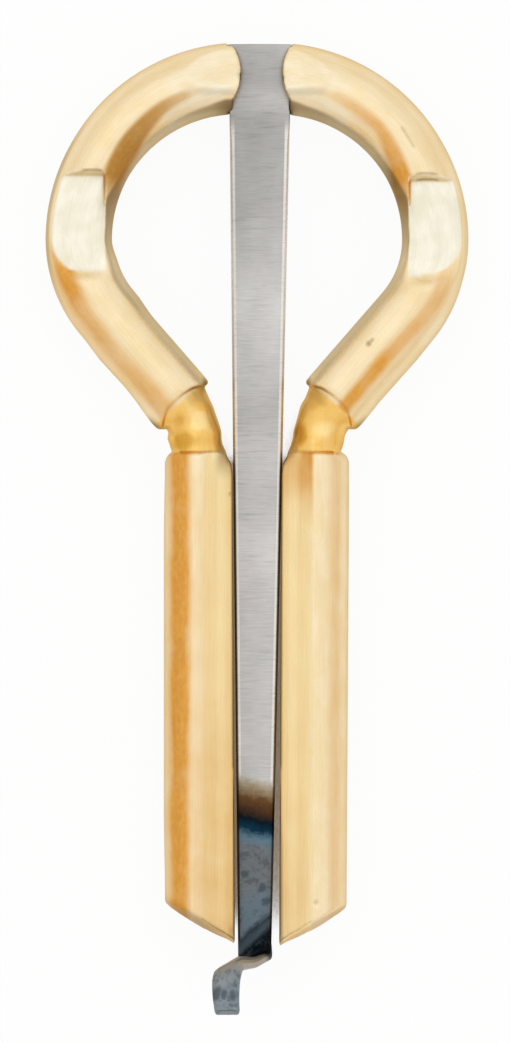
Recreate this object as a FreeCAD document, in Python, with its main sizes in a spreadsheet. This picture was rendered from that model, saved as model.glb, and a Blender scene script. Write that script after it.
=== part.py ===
import FreeCAD, Part
import math
import os
import Sketcher

# A jaw harp: a brass frame bent from one round rod, and a spring-steel tongue clamped in its head.
# It lies on its back. X is its width, +Y points from the trigger to the head, +Z from the back to
# the front, where the trigger stands up. Lengths are in millimetres and angles in degrees.

DIMENSIONS = {
    # Frame, along the centreline of the rod, with y = 0 at the bow's widest level
    "rod_dia": 6.0,
    "crown_half": 1.55,
    "upper_radius": 14.5,
    "lower_radius": 10.3,
    "lower_sweep": 41.0,
    "leg_straight": 10.4,
    "neck_radius": 5.7,
    "neck_straight": 0.8,
    "neck_dia": 4.7,
    # Head: the rod swells from here on and is hammered to an oval at the crown
    "swell_angle": 30.0,
    "head_deep": 6.55,
    "head_thick": 5.9,
    # Arms
    "arm_reach": 44.3,
    "arm_ridge": 0.33,
    # Narrow inner face of the arm's wedge, before the gap for the tongue is filed
    "wedge_inner_x": 1.9,
    "wedge_land": 1.6,
    # Half the filed gap, at the arm's top and at its end
    "gap_top": 2.39,
    "gap_end": 2.12,
    "gap_lead_in": 0.9,
    # Broken edges where the rod steps down to the neck
    "shoulder_rim": 0.2,
    "arm_rim": 0.35,
    "arm_end_skew": 30.5,
    "arm_end_tilt": 8.0,
    # Finger flats on the bow's sides
    "flat_inner_x": 13.65,
    "flat_height": 4.85,
    "flat_top": 5.43,
    "flat_bottom": 3.9,
    "flat_stagger": 0.25,
    "flat_wall_run": 0.45,
    "flat_runout": 2.0,
    # Flat ground on the front of the head by a large wheel
    "wheel_radius": 35.0,
    "head_ground": 2.2,
    "head_ground_tilt": 19.0,
    # Tongue groove and the lips staked over the tongue
    "groove_floor": 2.5,
    "groove_deep": 1.6,
    "head_shift": 0.25,
    "lip_shift": 0.42,
    "lip_level": 14.95,
    "lip_radius": 4.5,
    "lip_waist": 3.66,
    "lip_mouth": 5.1,
    # Tongue
    "root_top": 17.55,
    "root_width": 5.8,
    "mouth_y": 11.22,
    "tongue_width": 5.45,
    "tip_width": 3.0,
    "tip_thick": 0.8,
    "bevel": 0.42,
    "bevel_start": 0.45,
    "flexure_gap": 0.1,
    # Trigger, folded up out of the tongue's end on a slanted line
    "fold_shift": -0.2,
    "fold_y": 64.0,
    "fold_skew": 25.0,
    "fold_radius": 0.5,
    "leg_height": 5.0,
    "leg_lean": 3.72,
    "leg_top_width": 2.6,
    "finger_radius": 0.6,
    "finger_length": 0.6,
    "finger_width": 2.45,
    "curl_radius": 2.2,
    "curl_angle": 32.0,
}
# How far a circle's measured centre or radius may be off when an edge is looked up
TOUCH = 0.001

doc = FreeCAD.newDocument("jaw_harp")
sheet = doc.addObject("Spreadsheet::Sheet", "dims")


def write_cell(row, alias, value):
    """Put a named number into the sheet."""
    sheet.set("A%d" % row, alias)
    sheet.set("B%d" % row, str(value))
    sheet.setAlias("B%d" % row, alias)


for row, (alias, value) in enumerate(DIMENSIONS.items(), start=1):
    write_cell(row, alias, value)
doc.recompute()


def radians(alias):
    """The value of an angle in the sheet, for the first position of a sketch's geometry."""
    return math.radians(DIMENSIONS[alias])


def point(x, y):
    """A point in a sketch's own plane."""
    return FreeCAD.Vector(x, y, 0)


def origin_feature(body, role):
    """One of the body's own origin planes or axes."""
    return [feature for feature in body.Origin.OriginFeatures if feature.Role == role][0]


def sketch_on(body, name, plane, offset):
    """A sketch on one of the body's origin planes, moved and turned by an offset expression."""
    sketch = body.newObject("Sketcher::SketchObject", name)
    sketch.AttachmentSupport = [(origin_feature(body, plane), "")]
    sketch.MapMode = "FlatFace"
    sketch.setExpression("AttachmentOffset", offset)
    return sketch


def placed(x="0", y="0", z="0", yaw="0", pitch="0", roll="0"):
    """The expression of an offset: a position in the plane's axes, and its turn in degrees."""
    turn = "rotation(%s; %s; %s)" % (yaw, pitch, roll)
    return "placement(vector(%s; %s; %s); %s)" % (x, y, z, turn)


def dimension(sketch, name, expression, *definition):
    """Add a named dimension to a sketch and drive it from the sheet."""
    index = sketch.addConstraint(Sketcher.Constraint(*definition))
    sketch.renameConstraint(index, name)
    sketch.setExpression("Constraints." + name, expression)


def measure(sketch, name, *definition):
    """Add a named dimension that only reads the sketch, for other features to use."""
    index = sketch.addConstraint(Sketcher.Constraint(*definition))
    sketch.setDriving(index, False)
    sketch.renameConstraint(index, name)


def tie(sketch, *relations):
    """Add plain geometric relations to a sketch."""
    for relation in relations:
        sketch.addConstraint(Sketcher.Constraint(*relation))


def polygon(sketch, corners):
    """Straight sides through the corners, joined into a closed outline; returns the first index."""
    first = sketch.GeometryCount
    count = len(corners)
    for index in range(count):
        sketch.addGeometry(Part.LineSegment(corners[index], corners[(index + 1) % count]))
    for index in range(count):
        tie(sketch, ("Coincident", first + index, 2, first + (index + 1) % count, 1))
    return first


# ---------------------------------------------------------------- frame
frame = doc.addObject("PartDesign::Body", "frame")
frame.Label = "frame"


def draw_centreline():
    """The right half of the rod's centreline, from the crown down to the top of the arm."""
    sketch = sketch_on(frame, "centreline", "XY_Plane", placed(z="dims.rod_dia / 2"))
    up = FreeCAD.Vector(0, 0, 1)
    half = DIMENSIONS["crown_half"]
    upper = DIMENSIONS["upper_radius"]
    lower = DIMENSIONS["lower_radius"]
    bend = DIMENSIONS["neck_radius"]
    straight = DIMENSIONS["leg_straight"]
    swell = radians("swell_angle")
    sweep = radians("lower_sweep")
    lower_x = half + upper - lower
    knee = point(lower_x + lower * math.cos(sweep), -lower * math.sin(sweep))
    shoulder = knee - point(straight * math.sin(sweep), straight * math.cos(sweep))
    neck_centre = shoulder + point(bend * math.cos(sweep), -bend * math.sin(sweep))
    neck_end = neck_centre - point(bend, 0)
    arm_top = neck_end - point(0, DIMENSIONS["neck_straight"])
    upper_circle = Part.Circle(point(half, 0), up, upper)
    lower_circle = Part.Circle(point(lower_x, 0), up, lower)
    neck_circle = Part.Circle(neck_centre, up, bend)

    crown = sketch.addGeometry(Part.LineSegment(point(half, upper), point(0, upper)))
    head = sketch.addGeometry(Part.ArcOfCircle(upper_circle, swell, math.pi / 2))
    side = sketch.addGeometry(Part.ArcOfCircle(upper_circle, 0, swell))
    cheek = sketch.addGeometry(Part.ArcOfCircle(lower_circle, -sweep, 0))
    leg = sketch.addGeometry(Part.LineSegment(knee, shoulder))
    neck = sketch.addGeometry(Part.ArcOfCircle(neck_circle, math.pi - sweep, math.pi))
    stem = sketch.addGeometry(Part.LineSegment(neck_end, arm_top))
    tie(sketch,
        ("Horizontal", crown),
        ("PointOnObject", crown, 2, -2),
        ("Tangent", head, 2, crown, 1),
        ("Coincident", side, 2, head, 1),
        ("Coincident", side, 3, head, 3),
        ("PointOnObject", head, 3, -1),
        ("PointOnObject", side, 1, -1),
        ("Tangent", side, 1, cheek, 2),
        ("Tangent", cheek, 1, leg, 1),
        ("Tangent", leg, 2, neck, 1),
        ("Tangent", neck, 2, stem, 1),
        ("Vertical", stem))
    dimension(sketch, "crown_half", "dims.crown_half", "Distance", crown, half)
    dimension(sketch, "upper_radius", "dims.upper_radius", "Radius", head, upper)
    dimension(sketch, "lower_radius", "dims.lower_radius", "Radius", cheek, lower)
    dimension(sketch, "swell", "dims.swell_angle * 1 deg", "Angle", side, swell)
    dimension(sketch, "sweep", "dims.lower_sweep * 1 deg", "Angle", cheek, sweep)
    dimension(sketch, "leg_straight", "dims.leg_straight", "Distance", leg, straight)
    dimension(sketch, "neck_radius", "dims.neck_radius", "Radius", neck, bend)
    dimension(sketch, "neck_straight", "dims.neck_straight", "Distance", stem,
              DIMENSIONS["neck_straight"])
    measure(sketch, "shoulder", "DistanceY", -1, 1, leg, 2, shoulder.y)
    measure(sketch, "arm_axis", "DistanceX", -1, 1, stem, 2, arm_top.x)
    measure(sketch, "arm_top", "DistanceY", -1, 1, stem, 2, arm_top.y)
    return sketch


def circle_on(name, plane, offset, diameter):
    """A round section of the rod."""
    sketch = sketch_on(frame, name, plane, offset)
    circle = sketch.addGeometry(Part.Circle(point(0, 0), FreeCAD.Vector(0, 0, 1), 2))
    tie(sketch, ("Coincident", circle, 3, -1, 1))
    dimension(sketch, "diameter", diameter, "Diameter", circle, 4)
    return sketch


def draw_head_section():
    """The oval that the rod is hammered to at the crown."""
    offset = placed("dims.upper_radius", "dims.rod_dia / 2")
    sketch = sketch_on(frame, "head_section", "YZ_Plane", offset)
    wide = DIMENSIONS["head_deep"] / 2
    high = DIMENSIONS["head_thick"] / 2
    oval = sketch.addGeometry(Part.Ellipse(point(0, 0), wide, high))
    sketch.exposeInternalGeometry(oval)
    major = oval + 1
    minor = oval + 2
    tie(sketch, ("Coincident", oval, 3, -1, 1), ("Horizontal", major))
    dimension(sketch, "head_deep", "dims.head_deep", "Distance", major, 2 * wide)
    dimension(sketch, "head_thick", "dims.head_thick", "Distance", minor, 2 * high)
    return sketch


def sweep_rod(name, profile, spine, edges, sections=()):
    """Sweep a section of the rod along edges of the centreline."""
    pipe = frame.newObject("PartDesign::AdditivePipe", name)
    pipe.Profile = (profile, [""])
    pipe.Spine = (spine, edges)
    if sections:
        pipe.Transformation = "Multisection"
        pipe.Sections = [(section, [""]) for section in sections]
    doc.recompute()
    return pipe


def edge_names(sketch, count_from_crown):
    """Names of the centreline's edges, found by their distance from the crown."""
    crown = FreeCAD.Vector(0, DIMENSIONS["upper_radius"], DIMENSIONS["rod_dia"] / 2)
    order = sorted(range(len(sketch.Shape.Edges)),
                   key=lambda i: -sketch.Shape.Edges[i].CenterOfMass.y)
    assert sketch.Shape.Edges[order[0]].CenterOfMass.distanceToPoint(crown) < 1
    return ["Edge%d" % (order[i] + 1) for i in count_from_crown]


centreline = draw_centreline()
rod_round = circle_on(
    "rod_section", "XZ_Plane",
    placed("dims.crown_half + dims.upper_radius * cos(dims.swell_angle * 1 deg)",
           "dims.rod_dia / 2",
           "-dims.upper_radius * sin(dims.swell_angle * 1 deg)",
           pitch="dims.swell_angle"),
    "dims.rod_dia")
neck_round = circle_on(
    "neck_section", "XZ_Plane",
    placed("centreline.Constraints.arm_axis", "dims.rod_dia / 2", "-centreline.Constraints.arm_top"),
    "dims.neck_dia")
head_oval = draw_head_section()
doc.recompute()
sweep_rod("bow_side", rod_round, centreline, edge_names(centreline, (2, 3, 4)))
sweep_rod("bow_head", rod_round, centreline, edge_names(centreline, (0, 1)), [head_oval])
sweep_rod("neck", neck_round, centreline, edge_names(centreline, (5, 6)))


def draw_arm_section():
    """The arm's section: round outside, wedge shaped towards the tongue, with a narrow land."""
    offset = placed("centreline.Constraints.arm_axis", "dims.rod_dia / 2",
                    "-centreline.Constraints.arm_top")
    sketch = sketch_on(frame, "arm_section", "XZ_Plane", offset)
    radius = DIMENSIONS["rod_dia"] / 2
    inner = -radius
    ridge = -DIMENSIONS["arm_ridge"]
    ridge_height = math.sqrt(radius ** 2 - ridge ** 2)
    land = DIMENSIONS["wedge_land"] / 2
    corners = [point(ridge, ridge_height), point(inner, land),
               point(inner, -land), point(ridge, -ridge_height)]
    front = sketch.addGeometry(Part.LineSegment(corners[0], corners[1]))
    inside = sketch.addGeometry(Part.LineSegment(corners[1], corners[2]))
    back = sketch.addGeometry(Part.LineSegment(corners[2], corners[3]))
    outside = sketch.addGeometry(Part.Arc(corners[3], point(radius, 0), corners[0]))
    tie(sketch,
        ("Coincident", front, 2, inside, 1),
        ("Coincident", inside, 2, back, 1),
        ("Coincident", back, 2, outside, 1),
        ("Coincident", outside, 2, front, 1),
        ("Coincident", outside, 3, -1, 1),
        ("Symmetric", front, 2, inside, 2, -1),
        ("Vertical", front, 1, back, 2))
    dimension(sketch, "radius", "dims.rod_dia / 2", "Radius", outside, radius)
    dimension(sketch, "land", "dims.wedge_land", "Distance", inside, 2 * land)
    dimension(sketch, "ridge", "dims.arm_ridge", "DistanceX", front, 1, -1, 1, -ridge)
    dimension(sketch, "inner", "centreline.Constraints.arm_axis - dims.wedge_inner_x * 1 mm",
              "DistanceX", front, 2, -1, 1, -inner)
    return sketch


def pad(body, name, profile, length):
    """Extrude a sketch along its normal."""
    feature = body.newObject("PartDesign::Pad", name)
    feature.Profile = profile
    feature.setExpression("Length", length)
    return feature


def pocket(body, name, profile, length, along_normal):
    """Cut a sketch away, along its normal or against it, and make sure that it removes metal."""
    doc.recompute()
    before = body.Shape.Volume
    feature = body.newObject("PartDesign::Pocket", name)
    feature.Profile = profile
    feature.setExpression("Length", length)
    feature.Reversed = along_normal
    doc.recompute()
    assert body.Shape.Volume < before, name + " cuts nothing"
    return feature


def rectangle(sketch, left, right, bottom, top):
    """A rectangle between four expressions, each a distance from the sketch's origin."""
    corners = [point(-1, -1), point(1, -1), point(1, 1), point(-1, 1)]
    first = polygon(sketch, corners)
    tie(sketch, ("Horizontal", first), ("Vertical", first + 1),
        ("Horizontal", first + 2), ("Vertical", first + 3))
    dimension(sketch, "left", left, "DistanceX", first, 1, -1, 1, 1)
    dimension(sketch, "right", right, "DistanceX", -1, 1, first + 1, 1, 1)
    dimension(sketch, "bottom", bottom, "DistanceY", first, 1, -1, 1, 1)
    dimension(sketch, "top", top, "DistanceY", -1, 1, first + 2, 1, 1)


def cut_arm_end():
    """The skew plane that ends the arm: longest beside the tongue, and shorter at the front."""
    offset = placed("dims.gap_end", "(dims.rod_dia - dims.wedge_land) / 2",
                    "dims.arm_reach * 1 mm - centreline.Constraints.arm_top",
                    pitch="dims.arm_end_skew", roll="-dims.arm_end_tilt")
    sketch = sketch_on(frame, "arm_end", "XZ_Plane", offset)
    rectangle(sketch, "2 * dims.rod_dia", "2 * dims.rod_dia", "2 * dims.rod_dia", "2 * dims.rod_dia")
    pocket(frame, "arm_end_cut", sketch, "2 * dims.rod_dia", along_normal=True)


def cut_gap():
    """The gap filed for the tongue: it narrows towards the arm's end and opens at the arm's top."""
    offset = placed(y="centreline.Constraints.arm_top")
    sketch = sketch_on(frame, "gap", "XY_Plane", offset)
    length = DIMENSIONS["arm_reach"]
    first = polygon(sketch, [point(0, 0), point(0, -length), point(2, -length), point(2, -1), point(3, 0)])
    middle, foot, side, slope, lid = range(first, first + 5)
    tie(sketch, ("Coincident", middle, 1, -1, 1), ("Vertical", middle),
        ("Horizontal", foot), ("Horizontal", lid))
    dimension(sketch, "length", "dims.arm_reach + dims.rod_dia", "Distance", middle, length)
    dimension(sketch, "end", "dims.gap_end", "Distance", foot, 2)
    dimension(sketch, "top", "dims.gap_top", "DistanceX", -1, 1, side, 2, 2)
    dimension(sketch, "lead_in_depth", "dims.gap_lead_in", "DistanceY", side, 2, -1, 1, 1)
    dimension(sketch, "lead_in_run", "dims.gap_lead_in", "DistanceX", side, 2, slope, 2, 1)
    pocket(frame, "gap_cut", sketch, "dims.rod_dia", along_normal=True)


def break_rim(name, size, level):
    """Bevel the rod's outer edge at a step, found as the full-size circle whose centre is at level."""
    doc.recompute()
    base = frame.Tip
    radius = DIMENSIONS["rod_dia"] / 2
    rims = ["Edge%d" % (index + 1) for index, edge in enumerate(base.Shape.Edges)
            if isinstance(edge.Curve, Part.Circle)
            and abs(edge.Curve.Radius - radius) < TOUCH
            and abs(edge.Curve.Center.y - level) < TOUCH]
    assert len(rims) == 1, name + " finds %d edges" % len(rims)
    rim = frame.newObject("PartDesign::Chamfer", name)
    rim.Base = (base, rims)
    rim.setExpression("Size", size)


pad(frame, "arm", draw_arm_section(), "dims.arm_reach + dims.rod_dia")
break_rim("shoulder_bevel", "dims.shoulder_rim", centreline.getDatum("shoulder").Value)
break_rim("arm_bevel", "dims.arm_rim", centreline.getDatum("arm_top").Value)
doc.recompute()
cut_arm_end()
cut_gap()

mirror = frame.newObject("PartDesign::Mirrored", "both_halves")
mirror.TransformMode = "Whole shape"
mirror.MirrorPlane = (origin_feature(frame, "YZ_Plane"), [""])
frame.Tip = mirror
doc.recompute()


def cut_finger_flat(name, side, face):
    """One flat on the bow's side: a level floor, a steep wall at its top and a soft runout below.

    side is 1 on the right and -1 on the left; face is 1 on the front and -1 on the back.
    """
    offset = placed("%d * dims.flat_stagger" % -side,
                    "0" if face > 0 else "dims.rod_dia",
                    "%d * dims.flat_inner_x" % side,
                    roll="0" if face > 0 else "180")
    sketch = sketch_on(frame, name, "YZ_Plane", offset)
    height = DIMENSIONS["flat_height"]
    depth = DIMENSIONS["rod_dia"] - height
    runout = DIMENSIONS["flat_runout"]
    top = DIMENSIONS["flat_top"]
    wall = DIMENSIONS["flat_wall_run"] * runout / depth
    reach = math.sqrt(runout ** 2 - (runout - depth) ** 2)
    low = reach - DIMENSIONS["flat_bottom"]
    centre = point(low, height + runout)
    level = Part.LineSegment(point(low, height), point(top, height))
    slope = Part.LineSegment(point(top, height), point(top + wall, height + runout))
    lid = Part.LineSegment(point(top + wall, height + runout), point(low - runout, height + runout))
    circle = Part.Circle(centre, FreeCAD.Vector(0, 0, 1), runout)
    floor = sketch.addGeometry(level)
    climb = sketch.addGeometry(slope)
    above = sketch.addGeometry(lid)
    sweep = sketch.addGeometry(Part.ArcOfCircle(circle, math.pi, 1.5 * math.pi))
    tie(sketch,
        ("Horizontal", floor),
        ("Horizontal", above),
        ("Coincident", floor, 2, climb, 1),
        ("Coincident", climb, 2, above, 1),
        ("Coincident", above, 2, sweep, 1),
        ("Tangent", sweep, 2, floor, 1),
        ("Horizontal", sweep, 3, sweep, 1))
    depth_text = "(dims.rod_dia - dims.flat_height)"
    reach_text = "sqrt(dims.flat_runout ^ 2 - (dims.flat_runout - %s) ^ 2)" % depth_text
    dimension(sketch, "height", "dims.flat_height", "DistanceY", -1, 1, floor, 1, height)
    dimension(sketch, "top", "dims.flat_top", "DistanceX", -1, 1, floor, 2, top)
    dimension(sketch, "runout", "dims.flat_runout", "Radius", sweep, runout)
    dimension(sketch, "wall", "dims.flat_wall_run * dims.flat_runout / %s" % depth_text,
              "DistanceX", floor, 2, climb, 2, wall)
    dimension(sketch, "floor_end", "dims.flat_bottom - %s" % reach_text,
              "DistanceX", floor, 1, -1, 1, -low)
    pocket(frame, name + "_cut", sketch, "2 * dims.rod_dia", along_normal=side == face)


def grind_head():
    """The shallow flat that a large wheel leaves on the front of the head."""
    offset = placed("0", "dims.rod_dia / 2", "-dims.upper_radius",
                    roll="-dims.head_ground_tilt")
    sketch = sketch_on(frame, "head_wheel", "XZ_Plane", offset)
    radius = DIMENSIONS["wheel_radius"]
    high = DIMENSIONS["head_ground"] + radius
    wheel = sketch.addGeometry(Part.Circle(point(0, high), FreeCAD.Vector(0, 0, 1), radius))
    tie(sketch, ("PointOnObject", wheel, 3, -2))
    dimension(sketch, "radius", "dims.wheel_radius", "Radius", wheel, radius)
    dimension(sketch, "height", "dims.head_ground + dims.wheel_radius",
              "DistanceY", -1, 1, wheel, 3, high)
    cut = pocket(frame, "head_ground_cut", sketch, "2 * dims.head_deep", along_normal=True)
    cut.SideType = "Symmetric"


for side, side_name in ((1, "right"), (-1, "left")):
    for face, face_name in ((1, "front"), (-1, "back")):
        cut_finger_flat("flat_%s_%s" % (side_name, face_name), side, face)
grind_head()


def taper_half_width(y):
    """Half the width of the tongue's base at a distance y up from the bow's widest level."""
    rise = "(dims.root_width - dims.tongue_width) / (dims.root_top - dims.mouth_y)"
    return "(dims.tongue_width + (%s - dims.mouth_y) * %s) / 2" % (y, rise)


def cut_groove():
    """The tapered slot through the head that takes the base of the tongue."""
    offset = placed("dims.head_shift", "0", "dims.groove_floor")
    sketch = sketch_on(frame, "groove", "XY_Plane", offset)
    low = DIMENSIONS["mouth_y"] - 1
    high = DIMENSIONS["root_top"] + 1
    half = DIMENSIONS["tongue_width"] / 2
    corners = [point(-half, low), point(half, low), point(half, high), point(-half, high)]
    first = polygon(sketch, corners)
    tie(sketch,
        ("Symmetric", first, 1, first, 2, -2),
        ("Symmetric", first + 2, 1, first + 2, 2, -2))
    dimension(sketch, "low", "dims.mouth_y - 1", "DistanceY", -1, 1, first, 1, low)
    dimension(sketch, "high", "dims.root_top + 1", "DistanceY", -1, 1, first + 2, 1, high)
    dimension(sketch, "low_half", taper_half_width("(dims.mouth_y - 1)"),
              "DistanceX", -1, 1, first, 2, half)
    dimension(sketch, "high_half", taper_half_width("(dims.root_top + 1)"),
              "DistanceX", -1, 1, first + 2, 1, half)
    pocket(frame, "groove_cut", sketch, "dims.groove_deep", along_normal=True)


def cut_lips():
    """The opening between the two lips of brass that are staked over the tongue's edges."""
    offset = placed("dims.lip_shift", "dims.lip_level", "dims.groove_floor + dims.groove_deep")
    sketch = sketch_on(frame, "lips", "XY_Plane", offset)
    radius = DIMENSIONS["lip_radius"]
    waist = DIMENSIONS["lip_waist"] / 2
    mouth = DIMENSIONS["lip_mouth"] / 2
    low = DIMENSIONS["mouth_y"] - DIMENSIONS["lip_level"] - 1
    high = DIMENSIONS["root_top"] - DIMENSIONS["lip_level"] + 1
    centre = waist + radius
    join = -math.sqrt(radius ** 2 - (centre - mouth) ** 2)
    wide = centre - math.sqrt(radius ** 2 - high ** 2)
    up = FreeCAD.Vector(0, 0, 1)
    lower_turn = math.asin(join / radius)
    upper_turn = math.asin(high / radius)
    base = sketch.addGeometry(Part.LineSegment(point(-mouth, low), point(mouth, low)))
    right = sketch.addGeometry(Part.LineSegment(point(mouth, low), point(mouth, join)))
    right_lip = sketch.addGeometry(Part.ArcOfCircle(
        Part.Circle(point(centre, 0), up, radius), math.pi - upper_turn, math.pi - lower_turn))
    lid = sketch.addGeometry(Part.LineSegment(point(wide, high), point(-wide, high)))
    left_lip = sketch.addGeometry(Part.ArcOfCircle(
        Part.Circle(point(-centre, 0), up, radius), lower_turn, upper_turn))
    left = sketch.addGeometry(Part.LineSegment(point(-mouth, join), point(-mouth, low)))
    tie(sketch,
        ("Coincident", base, 2, right, 1),
        ("Coincident", right, 2, right_lip, 2),
        ("Coincident", right_lip, 1, lid, 1),
        ("Coincident", lid, 2, left_lip, 2),
        ("Coincident", left_lip, 1, left, 1),
        ("Coincident", left, 2, base, 1),
        ("Vertical", right),
        ("Symmetric", base, 1, base, 2, -2),
        ("Symmetric", lid, 1, lid, 2, -2),
        ("Vertical", left),
        ("PointOnObject", right_lip, 3, -1),
        ("PointOnObject", left_lip, 3, -1),
        ("Equal", right_lip, left_lip))
    dimension(sketch, "radius", "dims.lip_radius", "Radius", right_lip, radius)
    dimension(sketch, "waist", "dims.lip_waist / 2 + dims.lip_radius",
              "DistanceX", -1, 1, right_lip, 3, centre)
    dimension(sketch, "mouth", "dims.lip_mouth", "Distance", base, 2 * mouth)
    dimension(sketch, "low", "dims.lip_level - dims.mouth_y + 1", "DistanceY", base, 1, -1, 1, -low)
    dimension(sketch, "high", "dims.root_top - dims.lip_level + 1",
              "DistanceY", -1, 1, lid, 1, high)
    pocket(frame, "lips_cut", sketch, "dims.rod_dia", along_normal=True)


cut_groove()
cut_lips()


# ---------------------------------------------------------------- tongue
def strip_section(body, name, plane, offset, width, thickness, axis=None):
    """A section of the steel strip, centred on its middle, its front edges bevelled.

    The front of the strip is on the side of the sketch's +Y. axis, where given, is the expression
    of the height of a fold's axis above the middle, drawn as a construction line.
    """
    sketch = sketch_on(body, name, plane, offset)
    half = DIMENSIONS["tip_width"] / 2
    high = DIMENSIONS["tip_thick"] / 2
    shoulder = (2 * DIMENSIONS["bevel_start"] - 1) * high
    flat = half - DIMENSIONS["bevel"]
    corners = [point(-half, -high), point(half, -high), point(half, shoulder),
               point(flat, high), point(-flat, high), point(-half, shoulder)]
    first = polygon(sketch, corners)
    back, side, slope, front = first, first + 1, first + 2, first + 3
    tie(sketch,
        ("Symmetric", back, 1, back, 2, -2),
        ("Vertical", side),
        ("Symmetric", side, 2, first + 4, 2, -2),
        ("Symmetric", front, 1, front, 2, -2))
    dimension(sketch, "width", width, "Distance", back, 2 * half)
    dimension(sketch, "below", "(%s) / 2" % thickness, "DistanceY", back, 1, -1, 1, high)
    dimension(sketch, "above", "(%s) / 2" % thickness, "DistanceY", -1, 1, front, 1, high)
    dimension(sketch, "side", "(%s) * dims.bevel_start" % thickness,
              "DistanceY", side, 1, side, 2, high + shoulder)
    dimension(sketch, "bevel", "dims.bevel", "DistanceX", front, 1, side, 1, half - flat)
    if axis:
        above = 1.0 if not axis.startswith("-") else -1.0
        line = sketch.addGeometry(Part.LineSegment(point(-1, above), point(1, above)), True)
        tie(sketch, ("Symmetric", line, 1, line, 2, -2))
        dimension(sketch, "axis_length", "2", "Distance", line, 2)
        start, end = ((-1, 1), (line, 1)) if above > 0 else ((line, 1), (-1, 1))
        dimension(sketch, "axis", axis.lstrip("-"), "DistanceY", *start, *end, 1)
    return sketch


def loft(body, name, first, last):
    """A straight-sided run of the strip from one section to the next."""
    doc.recompute()
    feature = body.newObject("PartDesign::AdditiveLoft", name)
    feature.Profile = (first, [""])
    feature.Sections = [(last, [""])]
    feature.Ruled = True
    return feature


def fold(body, name, section, angle, backwards):
    """A bend of the strip about the axis drawn in its section."""
    doc.recompute()
    feature = body.newObject("PartDesign::Revolution", name)
    feature.Profile = section
    feature.ReferenceAxis = (section, ["Axis0"])
    feature.setExpression("Angle", angle)
    feature.Reversed = backwards
    return feature


MIDDLE = "(dims.groove_floor + dims.groove_deep / 2)"
FREE_END = "(dims.mouth_y - dims.flexure_gap)"

tongue_root = doc.addObject("PartDesign::Body", "tongue_root")
tongue_root.Label = "tongue_root"


def root_section(name, y, width):
    """The plain rectangular section of the tongue's base, inside the groove."""
    offset = placed("dims.head_shift", MIDDLE, "-" + y)
    sketch = sketch_on(tongue_root, name, "XZ_Plane", offset)
    rectangle(sketch, width + " / 2", width + " / 2", "dims.groove_deep / 2", "dims.groove_deep / 2")
    return sketch


loft(tongue_root, "clamped_base",
     root_section("root_at_mouth", "dims.mouth_y", "dims.tongue_width"),
     root_section("root_at_top", "dims.root_top", "dims.root_width"))

tongue = doc.addObject("PartDesign::Body", "tongue")
tongue.Label = "tongue"

# Positions along the trigger, each at the middle of the strip. "ahead" is the distance past the fold
# line, at right angles to it and level; "lean" is the distance along the fold line to the left.
SKEW = "(dims.fold_skew * 1 deg)"
FOLD = "(dims.fold_radius + dims.tip_thick / 2)"
TURN = "(dims.finger_radius + dims.tip_thick / 2)"
CURL = "(dims.curl_radius + dims.tip_thick / 2)"
LEVEL = "(%s + %s)" % (MIDDLE, FOLD)
TOP = "(%s + dims.leg_height)" % LEVEL
FINGER = "(%s + %s)" % (TOP, TURN)


def trigger_place(ahead, lean, height, plane, further="0", pitch="dims.fold_skew"):
    """The offset of a trigger section that lies level or upright, past the fold line."""
    x = "dims.fold_shift + %s * sin(%s) - %s * cos(%s)" % (ahead, SKEW, lean, SKEW)
    reach = "dims.fold_y + %s * cos(%s) + %s * sin(%s) + %s" % (ahead, SKEW, lean, SKEW, further)
    if plane == "XY_Plane":
        return placed(x, "-(%s)" % reach, height, yaw=pitch)
    return placed(x, height, reach, pitch=pitch)


def skewed(width):
    """The width of the strip measured along the slanted fold line."""
    return "%s / cos(%s)" % (width, SKEW)


blade_start = strip_section(
    tongue, "blade_start", "XZ_Plane", placed("dims.head_shift", MIDDLE, "-" + FREE_END),
    "dims.tongue_width", "dims.groove_deep")
blade_end = strip_section(
    tongue, "blade_end", "XZ_Plane", trigger_place("0", "0", MIDDLE, "XZ_Plane"),
    skewed("dims.tip_width"), "dims.tip_thick", FOLD)
leg_foot = strip_section(
    tongue, "leg_foot", "XY_Plane", trigger_place(FOLD, "0", LEVEL, "XY_Plane"),
    skewed("dims.tip_width"), "dims.tip_thick")
leg_top = strip_section(
    tongue, "leg_top", "XY_Plane", trigger_place(FOLD, "dims.leg_lean", TOP, "XY_Plane"),
    skewed("dims.leg_top_width"), "dims.tip_thick", "-" + TURN)
finger_start = strip_section(
    tongue, "finger_start", "XZ_Plane",
    trigger_place("(%s + %s)" % (FOLD, TURN), "dims.leg_lean", FINGER, "XZ_Plane"),
    skewed("dims.leg_top_width"), "dims.tip_thick")
finger_end = strip_section(
    tongue, "finger_end", "XZ_Plane",
    trigger_place("(%s + %s)" % (FOLD, TURN), "dims.leg_lean", FINGER, "XZ_Plane",
                  further="dims.finger_length", pitch="0"),
    "dims.finger_width", "dims.tip_thick", CURL)

loft(tongue, "blade", blade_start, blade_end)
fold(tongue, "trigger_fold", blade_end, "90", backwards=True)
loft(tongue, "trigger_leg", leg_foot, leg_top)
fold(tongue, "finger_fold", leg_top, "90", backwards=False)
loft(tongue, "finger", finger_start, finger_end)
fold(tongue, "finger_curl", finger_end, "dims.curl_angle * 1 deg", backwards=True)
doc.recompute()

# The origin is under the middle of the whole instrument, on the surface that it lies on.
reach_down = tongue.Shape.optimalBoundingBox().YMin
reach_up = frame.Shape.optimalBoundingBox().YMax
write_cell(len(DIMENSIONS) + 1, "origin_y", (reach_down + reach_up) / 2)
BODIES = (frame, tongue_root, tongue)
for body in BODIES:
    body.setExpression("Placement", placed(y="-dims.origin_y"))
doc.recompute()

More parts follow.
